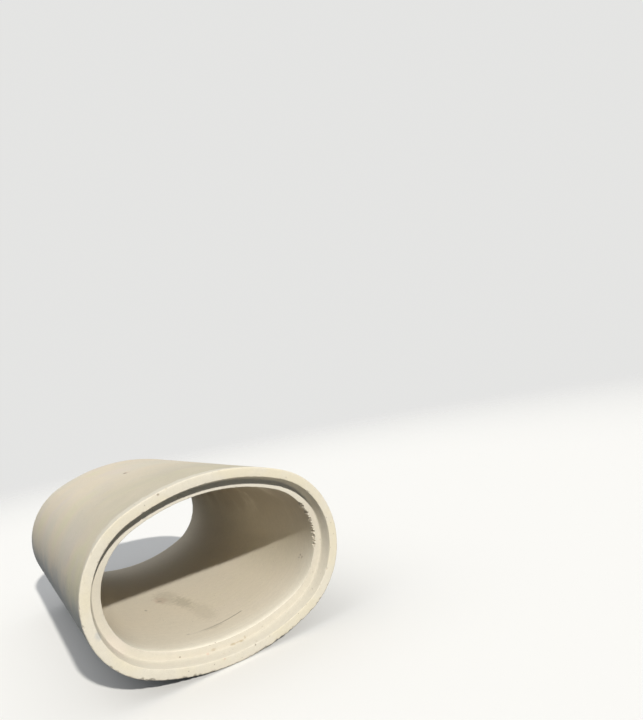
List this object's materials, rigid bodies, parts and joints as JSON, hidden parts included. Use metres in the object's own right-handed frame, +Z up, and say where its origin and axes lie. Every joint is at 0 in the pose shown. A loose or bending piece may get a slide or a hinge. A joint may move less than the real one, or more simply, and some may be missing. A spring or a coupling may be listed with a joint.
{
  "type": "concrete sewer pipe",
  "caption": "Oval precast concrete sewer pipe lying on its wide side, with a straight barrel, a grooved end and a matching tongue end that join such pipes into an underground run.",
  "frame": {"origin": "on the floor, under the middle of the overall length", "axes": "+Y along the pipe from the groove end to the tongue end, +X across its width, +Z up through its height"},
  "size_m": [1.5998, 2.5146, 1.1172],
  "materials": {
    "concrete": "matte"
  },
  "bodies": {
    "root": {"pipe": "concrete"}
  },
  "joints": []
}
